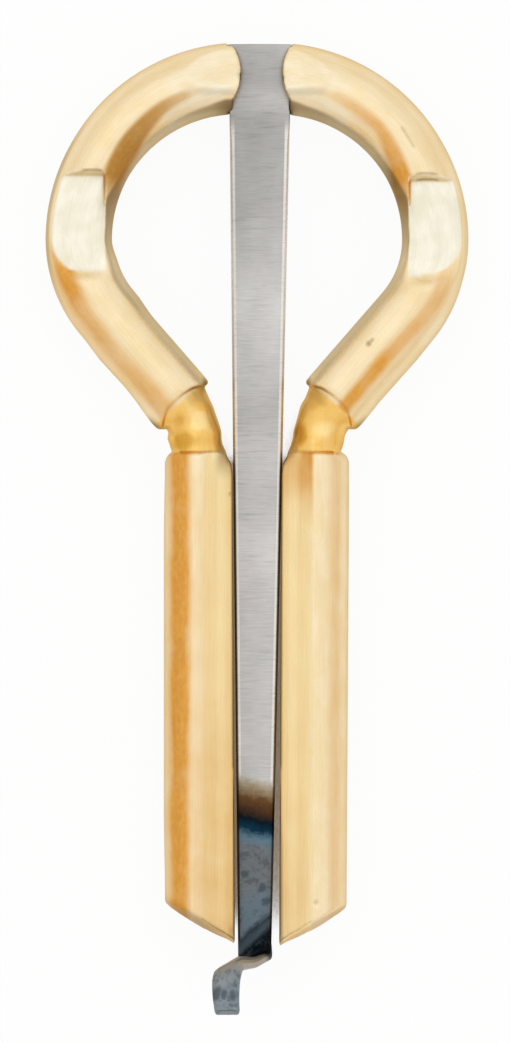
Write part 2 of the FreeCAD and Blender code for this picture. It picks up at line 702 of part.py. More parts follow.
for item in doc.Objects:
    faults = [state for state in item.State if state in ("Invalid", "Error")]
    assert not faults, "%s is %s" % (item.Name, faults)
for body in BODIES:
    assert not body.Shape.isNull() and body.Shape.isValid(), body.Label + " has no valid shape"
    assert len(body.Shape.Solids) == 1, body.Label + " is not one solid"

os.makedirs("parts", exist_ok=True)
for body in BODIES:
    body.Shape.exportStep("parts/%s.step" % body.Label)
    print(body.Label, body.Shape.optimalBoundingBox(), round(body.Shape.Volume, 1), "mm3")
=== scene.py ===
import math
import bmesh
import bpy
import numpy as np
from mathutils import Matrix, Vector, kdtree, noise


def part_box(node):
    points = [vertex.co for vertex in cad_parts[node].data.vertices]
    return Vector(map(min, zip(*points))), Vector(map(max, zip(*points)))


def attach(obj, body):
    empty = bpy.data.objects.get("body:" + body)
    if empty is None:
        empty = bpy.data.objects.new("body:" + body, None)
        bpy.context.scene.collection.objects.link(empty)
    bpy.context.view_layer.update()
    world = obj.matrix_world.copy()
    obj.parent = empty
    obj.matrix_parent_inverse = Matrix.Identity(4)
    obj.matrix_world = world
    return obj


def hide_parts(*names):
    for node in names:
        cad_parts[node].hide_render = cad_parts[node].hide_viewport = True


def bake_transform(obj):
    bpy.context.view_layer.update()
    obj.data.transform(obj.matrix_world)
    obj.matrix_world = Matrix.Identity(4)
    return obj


# A jaw harp lying on its back on a white table, seen from straight above. The brass frame is the
# model's own rod with its edges worn round; the tongue is one bevelled strip of steel, folded up into
# the trigger. Lengths are in millimetres in the drawing's axes: x across the bow, y along the tongue
# with 0 at the bow's widest level, and z up from the back.

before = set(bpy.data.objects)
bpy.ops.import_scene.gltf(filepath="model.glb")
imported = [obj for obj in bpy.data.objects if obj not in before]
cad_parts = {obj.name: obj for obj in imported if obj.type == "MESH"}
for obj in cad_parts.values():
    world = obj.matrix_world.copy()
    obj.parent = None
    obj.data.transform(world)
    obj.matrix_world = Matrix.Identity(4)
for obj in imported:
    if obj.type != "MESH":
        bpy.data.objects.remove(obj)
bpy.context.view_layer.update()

MM = 0.001
# The bow's top, above its widest level
HEAD_TOP = 17.73
ORIGIN_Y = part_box("frame")[1].y / MM - HEAD_TOP


def link(obj):
    bpy.context.scene.collection.objects.link(obj)
    return obj


def place(point):
    """A point of the drawing, in metres in the model's own axes."""
    x, y, z = point
    return Vector((x, y + ORIGIN_Y, z)) * MM


# ---------------------------------------------------------------- node helpers
class Nodes:
    """Short names for building a node tree."""

    def __init__(self, tree):
        self.tree = tree
        tree.nodes.clear()

    def add(self, kind, **inputs):
        """A node with its inputs, by name with _ for a space, or by number as i0, i1 and so on."""
        node = self.tree.nodes.new("ShaderNode" + kind)
        for name, value in inputs.items():
            self.put(node, name.replace("_", " "), value)
        return node

    def put(self, node, name, value):
        numbered = name[0] == "i" and name[1:].isdigit()
        socket = node.inputs[int(name[1:]) if numbered else name]
        if isinstance(value, bpy.types.NodeSocket):
            self.tree.links.new(value, socket)
        else:
            socket.default_value = value

    def math(self, operation, *values, clamp=False):
        node = self.tree.nodes.new("ShaderNodeMath")
        node.operation = operation
        node.use_clamp = clamp
        for index, value in enumerate(values):
            self.put(node, "i%d" % index, value)
        return node.outputs[0]

    def plus(self, a, b, clamp=False):
        return self.math("ADD", a, b, clamp=clamp)

    def minus(self, a, b):
        return self.math("SUBTRACT", a, b)

    def times(self, a, b, clamp=False):
        return self.math("MULTIPLY", a, b, clamp=clamp)

    def larger(self, a, b, clamp=False):
        return self.math("MAXIMUM", a, b, clamp=clamp)

    def without(self, share):
        """What a share leaves of 1."""
        return self.minus(1.0, share)

    def swing(self, pattern, size):
        """A pattern from 0 to 1, as a change about 0 that spans size."""
        return self.times(self.minus(pattern, 0.5), size)

    def step(self, value, low, high):
        """0 below low, 1 above high, smooth between."""
        node = self.tree.nodes.new("ShaderNodeMapRange")
        node.interpolation_type = "SMOOTHSTEP"
        self.put(node, "Value", value)
        self.put(node, "From Min", low)
        self.put(node, "From Max", high)
        return node.outputs["Result"]

    def ramp(self, factor, stops, smooth=True):
        node = self.tree.nodes.new("ShaderNodeValToRGB")
        node.color_ramp.interpolation = "EASE" if smooth else "LINEAR"
        elements = node.color_ramp.elements
        while len(elements) < len(stops):
            elements.new(0.5)
        for element, (position, colour) in zip(elements, stops):
            element.position = position
            element.color = (*colour, 1)
        self.put(node, "Fac", factor)
        return node.outputs["Color"]

    def mix(self, factor, a, b, blend="MIX"):
        node = self.tree.nodes.new("ShaderNodeMix")
        node.data_type = "RGBA"
        node.blend_type = blend
        for index, value in ((0, factor), (6, a), (7, b)):
            self.put(node, "i%d" % index, (*value, 1) if isinstance(value, tuple) else value)
        return node.outputs[2]

    def shaded(self, colour, shade):
        """The colour made darker or lighter by a factor."""
        grey = self.add("CombineColor", Red=shade, Green=shade, Blue=shade).outputs[0]
        return self.mix(1.0, colour, grey, "MULTIPLY")

    def attribute(self, name, output="Fac"):
        node = self.add("Attribute")
        node.attribute_name = name
        return node.outputs[output]

    def vector(self, operation, a, b):
        node = self.add("VectorMath", i0=a, i1=b)
        node.operation = operation
        return node.outputs

    def noise(self, spot, fineness, detail, roughness):
        """Noise with about fineness lumps to a millimetre in each direction."""
        stretched = self.vector("MULTIPLY", spot, fineness)["Vector"]
        node = self.add("TexNoise", Vector=stretched, Scale=1.0, Detail=detail, Roughness=roughness)
        return node.outputs["Fac"]

    def shelter(self, distance, low, high):
        """1 in nooks, which their surroundings cover within the distance, and 0 in the open."""
        cover = self.add("AmbientOcclusion", Distance=distance).outputs["AO"]
        return self.without(self.step(cover, low, high))

    def metal(self, colour, roughness, height, strength, depth):
        """Make the tree a metal, with a bump that is depth metres deep, and return its shader."""
        bump = self.add("Bump", Strength=strength, Distance=depth, Height=height)
        shader = self.add("BsdfPrincipled", Base_Color=colour, Metallic=1.0, Roughness=roughness,
                          Normal=bump.outputs[0])
        self.add("OutputMaterial", Surface=shader.outputs[0])
        return shader


def material(name):
    made = bpy.data.materials.new(name)
    made.use_nodes = True
    return made, Nodes(made.node_tree)


# ---------------------------------------------------------------- the rod of the frame
# The rod's middle line, from the crown down one side
CROWN_HALF = 1.55
UPPER_RADIUS = 14.5
LOWER_RADIUS = 10.3
LOWER_SWEEP = math.radians(41)
LEG_STRAIGHT = 10.4
NECK_RADIUS = 5.7
NECK_STRAIGHT = 0.8
ARM_LENGTH = 48.0
LINE_STEP = 0.1
# Places on that line: the bow's widest level, the shoulder above the neck, and the arm's top
WIDEST = CROWN_HALF + UPPER_RADIUS * math.pi / 2
SHOULDER = WIDEST + LOWER_RADIUS * LOWER_SWEEP + LEG_STRAIGHT
ARM_TOP = SHOULDER + NECK_RADIUS * LOWER_SWEEP + NECK_STRAIGHT
# The arms' length, the level of their tops, half the gap between their tips, and their ends' slant
ARM_REACH = 44.3
ARM_TOP_Y = -19.1
GAP_END = 2.12
ARM_SKEW = math.radians(30.5)
# The finger flats: from FLAT_END below the widest level to FLAT_TOP above it, from FLAT_INNER_X
# outwards, the left one higher and the right one lower by FLAT_STAGGER
FLAT_TOP = 5.43
FLAT_END = 2.1
FLAT_INNER_X = 13.65
FLAT_STAGGER = 0.25
# The height of the rod's middle
ROD_MIDDLE = 3.0

# The frame's mesh: size of its cells, how often it is smoothed, all over and where it is soft, and
# how near to each other points are welded
CELL = 0.16
WEAR_PASSES = 8
SOFT_PASSES = 36
WELD_REACH = 0.001

# Pits: place, radius and depth
PITS = (((9.99, -9.39, 5.9), 0.35, 0.10), ((10.3, -9.1, 5.9), 0.3, 0.05),
        ((-4.41, -45.2, 5.9), 0.3, 0.05), ((5.3, -59.5, 5.9), 0.35, 0.07),
        ((-1.4, 14.6, 5.0), 0.5, 0.12), ((2.36, 14.3, 5.0), 0.5, 0.10))
# Dark spots, darkening in the pits and painted shade in corners and on the necks: place, radius and
# strength
SHADE_AND_PIT_SPOTS = (((9.99, -9.39, 5.9), 0.42, 0.9), ((10.3, -9.1, 5.9), 0.32, 0.7),
          ((-4.41, -45.2, 5.9), 0.3, 0.5), ((5.3, -59.5, 5.9), 0.35, 0.4),
          ((-1.36, 14.6, 4.8), 0.85, 0.95), ((2.34, 14.3, 4.8), 0.8, 0.95),
          ((-9.0, -16.7, 3.6), 1.5, 0.8), ((9.0, -16.7, 3.6), 1.5, 0.6),
          ((-4.5, -13.1, 4.0), 1.3, 0.9), ((4.2, -13.0, 4.0), 1.3, 0.9),
          ((-2.35, -22.9, 4.4), 0.35, 0.6), ((-2.3, -62.3, 3.6), 1.2, 0.6))
# Lighter and darker gold on the necks, painted highlights and shade on their lumps: place, radius and
# change
NECK_LIGHT_AND_SHADE = (((-5.0, -16.4, 5.0), 1.7, 0.6), ((-7.1, -15.6, 5.0), 1.6, -0.3),
                ((-6.7, -18.1, 5.0), 1.9, -0.5), ((-5.4, -18.2, 5.0), 1.2, -0.25),
                ((5.9, -16.5, 5.0), 1.8, 0.5), ((3.7, -17.2, 4.5), 1.7, -0.45),
                ((7.2, -14.9, 5.0), 1.6, -0.1), ((4.0, -18.4, 4.6), 1.4, -0.3))
# Painted shade in bowed lines where the flats' upper walls begin: middle, level and half length
FLAT_LINES = ((-14.8, 6.2, 1.0), (15.2, 5.85, 1.1), (15.3, 5.35, 1.1))


def centreline():
    """Points along the rod's middle, from the crown down the right side: distance, place, heading."""
    points = []
    at, heading, travelled = Vector((0, UPPER_RADIUS)), 0.0, 0.0

    def run(length, turn):
        nonlocal at, heading, travelled
        count = round(length / LINE_STEP)
        for _ in range(count):
            points.append((travelled, at.x, at.y, heading))
            heading += turn / count / 2
            at = at + Vector((math.cos(heading), -math.sin(heading))) * length / count
            heading += turn / count / 2
            travelled += length / count

    run(CROWN_HALF, 0)
    run(UPPER_RADIUS * math.pi / 2, math.pi / 2)
    run(LOWER_RADIUS * LOWER_SWEEP, LOWER_SWEEP)
    run(LEG_STRAIGHT, 0)
    run(NECK_RADIUS * LOWER_SWEEP, -LOWER_SWEEP)
    run(NECK_STRAIGHT + ARM_LENGTH, 0)
    return np.array(points)


def read(items, name, size, kind=float):
    """A value of every item, as rows of the given size."""
    values = np.empty(len(items) * size, dtype=kind)
    items.foreach_get(name, values)
    return values.reshape(-1, size)


class Rod:
    """Where each point of the frame's mesh lies on the rod."""

    def __init__(self, mesh):
        self.mesh = mesh
        self.spots = read(mesh.vertices, "co", 3) / MM
        self.spots[:, 1] -= ORIGIN_Y
        self.x, self.y, self.height = self.spots.T
        self.normals = read(mesh.vertex_normals, "vector", 3)
        self.left = self.x < 0
        self.right = ~self.left
        self.side = np.where(self.left, -1.0, 1.0)
        self.stagger = -self.side * FLAT_STAGGER
        line = centreline()
        tree = kdtree.KDTree(len(line))
        for index, (_, x, y, _) in enumerate(line):
            tree.insert((x, y, 0), index)
        tree.balance()
        near = line[[tree.find((abs(x), y, 0))[1] for x, y, _ in self.spots]]
        off_x = np.abs(self.x) - near[:, 1]
        off_y = self.y - near[:, 2]
        # How far down its side each point is, from the crown and from the arm's top, and how far
        # outwards from the rod's middle line
        self.along = near[:, 0] + (off_x * np.cos(near[:, 3]) - off_y * np.sin(near[:, 3]))
        self.down = self.along - ARM_TOP
        self.outwards = off_x * np.sin(near[:, 3]) + off_y * np.cos(near[:, 3])
        heading = np.interp(self.along, line[:, 0], line[:, 3])
        level = np.zeros(len(heading))
        self.ahead = np.stack([self.side * np.cos(heading), -np.sin(heading), level], axis=1)
        self.away = np.stack([self.side * np.sin(heading), np.cos(heading), level], axis=1)

    def store(self, name, values):
        """Keep a number or a vector at each point of the mesh."""
        kind, key = ("FLOAT", "value") if values.ndim == 1 else ("FLOAT_VECTOR", "vector")
        attribute = self.mesh.attributes.new(name, kind, "POINT")
        attribute.data.foreach_set(key, values.astype(np.float32).ravel())


def above(value, low, soft):
    """1 from low on, falling smoothly to 0 within soft below it."""
    share = np.clip((value - low) / soft + 1, 0, 1)
    return share * share * (3 - 2 * share)


def below(value, high, soft):
    """1 up to high, falling smoothly to 0 within soft above it."""
    return above(-value, -high, soft)


def between(value, low, high, soft):
    """1 from low to high, falling smoothly to 0 within soft outside them."""
    return above(value, low, soft) * below(value, high, soft)


def profile(along, *stops):
    """A value that runs through the stops, each a distance along the rod and a value there."""
    return np.interp(along, [stop[0] for stop in stops], [stop[1] for stop in stops])


def blotches(spots, size, seed):
    """Smooth noise about 0 at each point, with lumps about size mm across."""
    shift = Vector((seed * 17.3, seed * 5.1, seed * 9.7))
    return np.array([noise.noise(Vector(spot) / size + shift) for spot in spots])


def spot_at(spots, centre, radius):
    """1 at a place on the drawing, falling smoothly to 0 at radius."""
    return below(np.linalg.norm(spots - np.array(centre), axis=1), 0, radius)


def scaled(directions, amounts):
    """Each point's direction, as long as its amount."""
    return directions * amounts[:, None]


# ---------------------------------------------------------------- shape of the worn brass
def worn_copy(node, name):
    """A fine closed copy of a node with its edges worn round."""
    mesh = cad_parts[node].data.copy()
    mesh.transform(Matrix.Scale(1 / MM, 4))
    work = link(bpy.data.objects.new(name + "_work", mesh))
    weld = work.modifiers.new("weld", "WELD")
    weld.merge_threshold = WELD_REACH
    fine = work.modifiers.new("fine", "REMESH")
    fine.mode = "VOXEL"
    fine.voxel_size = CELL
    wear = work.modifiers.new("wear", "SMOOTH")
    wear.factor = 0.5
    wear.iterations = WEAR_PASSES
    graph = bpy.context.evaluated_depsgraph_get()
    result = bpy.data.meshes.new_from_object(work.evaluated_get(graph))
    bpy.data.objects.remove(work)
    result.transform(Matrix.Scale(MM, 4))
    result.shade_smooth()
    result.name = name
    return link(bpy.data.objects.new(name, result))


def soften(mesh, weights, passes):
    """Smooth the mesh where weights is above 0."""
    spots = read(mesh.vertices, "co", 3)
    starts, ends = read(mesh.edges, "vertices", 2, np.int64).T
    near = (weights[starts] > 0) | (weights[ends] > 0)
    starts, ends = starts[near], ends[near]
    count = len(spots)
    degree = np.maximum(np.bincount(starts, minlength=count) + np.bincount(ends, minlength=count), 1)
    for _ in range(passes):
        for axis in range(3):
            values = spots[:, axis]
            total = (np.bincount(starts, values[ends], count)
                     + np.bincount(ends, values[starts], count))
            spots[:, axis] = values + (total / degree - values) * 0.5 * weights
    mesh.vertices.foreach_set("co", spots.ravel())
    mesh.update()


def shoulder_wear(rod):
    """Legs spread towards their ends, rims pulled into shallow bows, brass swept over the corner."""
    along, outwards = rod.along, rod.outwards
    near_rim = profile(along, (SHOULDER - 2.0, 0), (SHOULDER - 0.3, 1), (SHOULDER + 0.3, 1),
                       (SHOULDER + 1.6, 0))
    bow = (0.7 * above(outwards, 2.6, 1.6) - 0.42 * np.clip(1 - (outwards / 2.7) ** 2, 0, 1)
           + 0.32 * below(outwards, -2.7, 1.4))
    left_spread = profile(along, (SHOULDER - 10, 0), (SHOULDER - 7.8, 0.17), (SHOULDER - 4.5, 0.08),
                          (SHOULDER - 2.7, 0.16), (SHOULDER - 0.9, 0.38), (SHOULDER + 0.9, 0.4),
                          (SHOULDER + 1.6, 0))
    right_spread = profile(along, (WIDEST + 3, 0), (WIDEST + 6.7, 0.23), (WIDEST + 9.9, 0.36),
                           (SHOULDER - 2.8, 0.3), (SHOULDER - 0.9, 0.4), (SHOULDER + 0.9, 0.4),
                           (SHOULDER + 1.6, 0))
    spread = np.where(rod.left, left_spread, right_spread) * above(outwards, 2.0, 2.0)
    inside = rod.left * between(along, WIDEST + 3.0, WIDEST + 7.5, 3.0) * below(outwards, -2, 2.0)
    swept = profile(along, (SHOULDER + 0.05, 0), (SHOULDER + 0.3, 0.34), (SHOULDER + 1.6, 0))
    swept = swept * between(outwards, -0.2, 2.6, 1.6) * (rod.normals[:, 2] > 0)
    return (scaled(rod.ahead, near_rim * bow) + scaled(rod.away, spread - 0.25 * inside)
            + scaled(rod.normals, swept))


def neck_wear(rod):
    """Necks thicker than they were turned, lumpy, and run softly into the arms."""
    along, outwards = rod.along, rod.outwards
    outer = profile(along, (SHOULDER + 0.8, 0), (SHOULDER + 1.8, 0.27), (SHOULDER + 3.4, 0.18),
                    (ARM_TOP - 0.2, 0.05), (ARM_TOP + 0.1, 0)) * above(outwards, 0.5, 1.5)
    inner = profile(along, (SHOULDER + 0.2, 0), (SHOULDER + 0.9, 0.24), (ARM_TOP - 1.0, 0.24),
                    (ARM_TOP, 0)) * below(outwards, -0.5, 1.5)
    low = rod.left * between(along, ARM_TOP - 1.9, ARM_TOP - 0.2, 0.6) * above(outwards, 1.8, 1.2)
    flare = profile(along, (ARM_TOP - 1.2, 0), (ARM_TOP - 0.4, 0.3), (ARM_TOP + 0.1, 0.9),
                    (ARM_TOP + 0.9, 0)) * below(outwards, -1.8, 0.6)
    corner = profile(along, (ARM_TOP - 0.4, 0), (ARM_TOP, 1), (ARM_TOP + 0.9, 0)) * above(
        outwards, 2.2, 0.8)
    wave_start = SHOULDER + np.where(rod.left, 1.05, 1.5)
    wave = np.cos((along - wave_start) * 2 * math.pi / 2.45) * np.where(rod.left, 1.0, 0.5)
    lumps = (0.07 * wave + 0.08 * blotches(rod.spots, 1.7, 4)) * between(
        along, SHOULDER + 0.9, ARM_TOP - 0.9, 0.6)
    return (scaled(rod.away, outer + inner + 0.12 * low - 0.36 * flare - 0.28 * corner)
            + scaled(rod.normals, lumps))


def arm_wear(rod):
    """Arms filed unevenly: the left one bulges, the right one thins towards its end and is longer."""
    down, outwards = rod.down, rod.outwards
    outside = above(outwards, 2.0, 2.0)
    thinned = rod.right * profile(down, (4, 0), (ARM_REACH, 1)) * outside
    bulge = rod.left * between(down, 8, 32, 8.0) * outside
    beside_gap = profile(down, (0.5, 0), (2.0, 1)) * below(outwards, -2.4, 0.8)
    shift = scaled(rod.away, 0.1 * bulge - 0.25 * thinned - 0.16 * beside_gap)
    longer = rod.right * profile(down, (ARM_REACH - 12, 0), (ARM_REACH - 6, 1))
    shift[:, 1] -= longer * (0.22 + 0.2 * above(outwards, 2.8, 4.0))
    for x in (-GAP_END, GAP_END):
        tip = (x, ARM_TOP_Y - ARM_REACH + 0.1, ROD_MIDDLE)
        shift[:, 1] -= 0.1 * spot_at(rod.spots, tip, 1.3)
    return shift


def soft_places(rod):
    """How soft each edge is: the flats' lower ends, the arms' tops, the shoulders and the necks."""
    along, outwards = rod.along, rod.outwards
    flat_end = rod.stagger - FLAT_END
    runout = between(rod.y, flat_end - 1.9, flat_end + 0.1, 0.5) * above(np.abs(rod.x), 13, 0.6)
    runout = runout * above(np.abs(rod.height - ROD_MIDDLE), 1.5, 0.4)
    arm_step = between(along, ARM_TOP - 0.3, ARM_TOP + 0.9, 0.4) * below(outwards, -2, 0.5)
    shoulder = between(along, SHOULDER - 0.5, SHOULDER + 0.8, 0.5) * (
        0.1 + 0.3 * above(outwards, 0.2, 1.6))
    neck = between(along, SHOULDER + 0.9, ARM_TOP - 0.2, 0.3)
    return np.maximum.reduce([runout, 0.4 * arm_step, shoulder, 0.12 * neck])


def wear_brass(piece):
    """Bring out the forge and file work on the worn rod: uneven shoulders, lumpy necks, pits."""
    mesh = piece.data
    rod = Rod(mesh)
    shift = shoulder_wear(rod) + neck_wear(rod) + arm_wear(rod)
    for centre, radius, depth in PITS:
        shift -= scaled(rod.normals, depth * spot_at(rod.spots, centre, radius))
    moved = read(mesh.vertices, "co", 3) + shift * MM
    mesh.vertices.foreach_set("co", moved.ravel())
    soften(mesh, soft_places(rod), SOFT_PASSES)


# ---------------------------------------------------------------- finish of the brass
# Amber bands along the rod, tarnish together with painted shade on its flanks: how soft their sides
# are, then their middle, half width and strength, each at some distances from the crown
LEFT_HEAD_BAND = (0.6, ((6.5, -0.75), (9.2, -0.85), (14.5, -1.6), (18, -1.9), (24, -2.3)),
                  ((6.5, 0.1), (9.2, 0.25), (14.5, 0.7), (18, 0.6), (24, 0.3)),
                  ((5.5, 0), (7, 0.45), (9.2, 0.75), (13, 1), (17.5, 1), (19.5, 0.35), (23, 0)))
RIGHT_HEAD_BAND = (0.7, ((6.5, -0.6), (12.5, -0.8), (14.7, -1.25), (18.3, -2.0), (22, -2.3)),
                   ((6.5, 0.1), (12.5, 0.2), (14.7, 0.35), (18.3, 0.6), (22, 0.3)),
                   ((5.5, 0), (8, 0.4), (12, 0.65), (15, 0.85), (18, 1), (21, 0.5), (23, 0)))
LEFT_LEG_BAND = (1.15, ((24, 1.7), (29, 1.52), (35, 1.85), (40, 1.6)), ((0, 0.3),),
                 ((24.3, 0), (25.5, 0.8), (27, 0.95), (31, 0.75), (35, 0.45), (40, 0.6),
                  (SHOULDER, 0.5), (SHOULDER + 0.3, 0)))
RIGHT_LEG_BAND = (0.7, ((26, 1.3), (29.2, 1.4), (36, 1.03), (40, 1.19)), ((0, 0.25),),
                  ((25, 0), (27, 0.35), (29, 0.5), (33, 0.7), (36, 0.9), (40, 1.1),
                   (SHOULDER, 1), (SHOULDER + 0.3, 0)))
# How far apart the grain of the two sides is, so that they differ
SIDE_APART = 200


def band(rod, where, soft, middle, half, strength):
    """A stripe along one side of the rod."""
    off_middle = rod.outwards - profile(rod.along, *middle)
    half = profile(rod.along, *half)
    return where * profile(rod.along, *strength) * between(off_middle, -half, half, soft)


def amber_tarnish_and_shade(rod, broad, fine):
    """Amber tarnish and painted shade, in bands down both sides, at the right arm's top and on the facets
    beside the tongue.
    """
    down, outwards = rod.down, rod.outwards
    arms = above(down, 0.4, 0.8) * np.where(
        rod.left, 1.15 * between(outwards, 1.35, 1.95, 1.15), 0.22 * between(outwards, 1.5, 1.9, 0.8))
    flow = rod.right * profile(down, (-1.5, 0), (0, 1), (2.4, 0.9), (4.6, 0.35), (7, 0))
    flow = flow * below(outwards, -0.4, 0.3) * (0.62 + 0.38 * between(outwards, -1.2, 0, 0.6))
    left_facet = below(outwards, 0.2, 1.0) * profile(
        down, (1, 0), (3, 0.1), (16, 0.12), (24, 0.18), (31, 0.34), (38, 0.4), (44, 0.46))
    right_facet = below(outwards, -1.2, 0.8) * profile(
        down, (1, 0), (3, 0.06), (30, 0.1), (38, 0.22), (44, 0.26))
    share = np.maximum.reduce([
        band(rod, rod.left, *LEFT_HEAD_BAND), band(rod, rod.right, *RIGHT_HEAD_BAND),
        band(rod, rod.left, *LEFT_LEG_BAND), band(rod, rod.right, *RIGHT_LEG_BAND),
        arms, flow, np.where(rod.left, left_facet, right_facet)])
    return np.clip(share * (0.98 + 0.25 * broad + 0.15 * fine) + 0.05 * broad, 0, 1)


def neck_tint(rod, broad, fine):
    """How light the necks' gold is, with its uneven tone and painted highlights and shade."""
    tint = 0.52 + 0.35 * fine + 0.2 * broad
    for centre, radius, change in NECK_LIGHT_AND_SHADE:
        tint = tint + change * spot_at(rod.spots, centre, radius) * (1 + 0.8 * broad)
    return np.clip(tint, 0, 1)


def flat_floors(rod):
    """The floors of the finger flats."""
    outer_edge = profile(rod.along, (WIDEST - 1, 2.6), (WIDEST + 0.4, 2.4), (WIDEST + 1.2, 2.1),
                         (WIDEST + 1.9, 1.65), (WIDEST + 2.5, 1.1), (WIDEST + 3.0, 0.3),
                         (WIDEST + 3.4, -0.7))
    share = between(rod.y, rod.stagger - FLAT_END - 0.8, rod.stagger + FLAT_TOP + 0.1, 0.5)
    share = share * below(rod.outwards - outer_edge, -0.2, 0.45)
    share = share * above(np.abs(rod.x), FLAT_INNER_X + 0.02, 0.12)
    share = share * above(np.abs(rod.normals[:, 2]), 0.86, 0.1)
    return share * between(rod.along, WIDEST - 7, WIDEST + 7, 1)


def pale_share(rod, floors):
    """Pale where the brass was ground: the flats' floors and walls, and the front of the head; and a
    painted highlight in a band along the head's inner side.
    """
    along, facing_up = rod.along, rod.normals[:, 2]
    wall_at = rod.stagger + FLAT_TOP
    wall = between(rod.y, wall_at, wall_at + 0.35, 0.15) * between(np.abs(rod.x), 14.1, 16.7, 0.5)
    wall = wall * between(along, WIDEST - 7, WIDEST, 1) * below(facing_up, 0.93, 0.1)
    head = between(along, 1.5, 7.0, 2.0) * (facing_up > 0.9) * between(rod.y, 13.2, 17.6, 0.3)
    painted_highlight = between(along, 3.6, 9.0, 1.5) * between(
        rod.outwards + 0.12 * (along - 4), -1.9, -1.0, 0.5)
    return np.clip(np.maximum(floors, 0.7 * wall) + 0.3 * head + 0.45 * painted_highlight, 0, 1)


def edge_shade(rod, floors):
    """Painted shade on the bow's inner side, beside the groove, on the gap's walls and on the outer rim.
    """
    along, outwards = rod.along, rod.outwards
    edge = profile(along, (3, -2.1), (5, -2.4), (9, -2.6), (16, -2.5), (18.5, -2.35), (20, -2.15),
                   (23, -2.2), (26, -2.5))
    strength = profile(along, (1, 0.8), (3, 0.8), (4.5, 0.55), (8, 0.4), (14, 0.4), (17, 0.55),
                       (19.5, 0.75), (23, 0.6), (27, 0.3), (32, 0.35), (40, 0.3), (SHOULDER, 0.1),
                       (SHOULDER + 1, 0))
    stronger = np.where(rod.right, profile(along, (4, 1), (7, 1.35), (17, 1.35), (19, 1)), 1.0)
    inner = below(outwards, edge, 0.35) * strength * stronger * (1 - floors)
    beside_groove = 0.4 * band(rod, rod.left, *LEFT_HEAD_BAND)
    to_middle = -rod.side * rod.normals[:, 0] * above(rod.down, 0.5, 0.5)
    gap_walls = 0.55 * above(to_middle, 0.88, 0.15)
    outer = rod.left * above(outwards, 2.75, 0.25) * profile(along, (14, 0), (18, 0.3), (26, 0.3), (30, 0))
    return np.maximum.reduce([inner, beside_groove, gap_walls, outer])


def neck_shade(rod):
    """Painted shade under the shoulders, along the necks' inner sides and at the left arm's top."""
    along, outwards = rod.along, rod.outwards
    under_shoulder = 0.2 * between(along, SHOULDER, SHOULDER + 0.5, 0.6) * below(outwards, -0.6, 1.0)
    inside = 0.2 * between(along, SHOULDER + 0.6, ARM_TOP + 0.2, 0.5) * below(outwards, -2.1, 0.7)
    arm_top = 0.4 * rod.left * between(rod.down, 0, 0.8, 2.0) * below(outwards, -2.1, 0.8)
    return np.maximum.reduce([under_shoulder, inside, arm_top])


def arm_end_shade(rod):
    """Painted shade over the arms' slanted ends, and beside the gap at the right one's tip."""
    off_middle = np.abs(rod.x)
    end = ARM_TOP_Y - ARM_REACH - 0.25 * rod.right + (off_middle - GAP_END) * math.tan(ARM_SKEW)
    left_end = 0.5 * below(rod.y - end, 0.25, 0.8) * profile(
        off_middle, (2.6, 0.5), (4.5, 1), (6.5, 0.9), (8, 0.3))
    right_end = 0.2 * below(rod.y - end, 0.15, 0.35)
    ends = np.where(rod.left, left_end, right_end) * above(rod.down, 35, 1.0)
    tip = 0.4 * rod.right * above(rod.down, 36, 4.0) * below(off_middle, GAP_END + 0.12, 0.2)
    return np.maximum(ends, tip)


def shade_lines_and_scratch(rod):
    """Painted shade in lines under the head's ground front and over the finger flats, and one scratch."""
    x, y = rod.x, rod.y
    under_head = 0.2 * between(y, 13.1, 13.3, 0.4) * (rod.height > 4.4) * np.where(
        rod.left, between(x, -5.0, -2.6, 1.4), between(x, 2.9, 5.6, 1.0))
    off_scratch = np.abs((x - 13.6) * 0.845 + (y - 9.0) * 0.535)
    scratch = 0.3 * rod.right * below(off_scratch, 0.04, 0.12) * between(y, 8.3, 9.9, 0.25)
    lines = np.maximum(under_head, scratch * (rod.height > 4))
    for middle, level, half in FLAT_LINES:
        off_middle = np.abs(x - middle)
        off_line = y - (level - 0.10 * off_middle ** 2)
        line = 0.45 * between(off_line, -0.05, 0.05, 0.12) * below(off_middle, half - 0.3, 0.4)
        lines = np.maximum(lines, line * (rod.height > 3.5))
    return lines


# Painted shade along edges, at the necks, the arm ends, the flats' walls and corners, with darkening in
# the pits and one scratch
def shade_and_grime_share(rod, floors):
    shade_and_grime = np.maximum.reduce([edge_shade(rod, floors), neck_shade(rod), arm_end_shade(rod),
                               shade_lines_and_scratch(rod)])
    for centre, radius, strength in SHADE_AND_PIT_SPOTS:
        shade_and_grime = np.maximum(shade_and_grime, strength * spot_at(rod.spots, centre, radius))
    return shade_and_grime


def finish_brass(piece):
    """Keep the rod's own directions, and where the brass is amber with painted shade, gold, pale from
    grinding with a painted highlight, or darkened by painted shade and grime.
    """
    rod = Rod(piece.data)
    broad = blotches(rod.spots, 3.0, 1)
    fine = blotches(rod.spots, 1.1, 2)
    floors = flat_floors(rod)
    rod.store("grain", np.stack([rod.along + SIDE_APART * rod.left, rod.outwards, rod.height], axis=1))
    rod.store("tarnish_and_shade", amber_tarnish_and_shade(rod, broad, fine))
    rod.store("gold", between(rod.along, SHOULDER + 0.1, ARM_TOP - 0.1, 0.25))
    rod.store("tint", neck_tint(rod, broad, fine))
    rod.store("facet", above(rod.down, 1.0, 2.0) * below(rod.outwards, -0.55, 0.25))
    rod.store("pale", pale_share(rod, floors))
    rod.store("shade_and_grime", shade_and_grime_share(rod, floors))


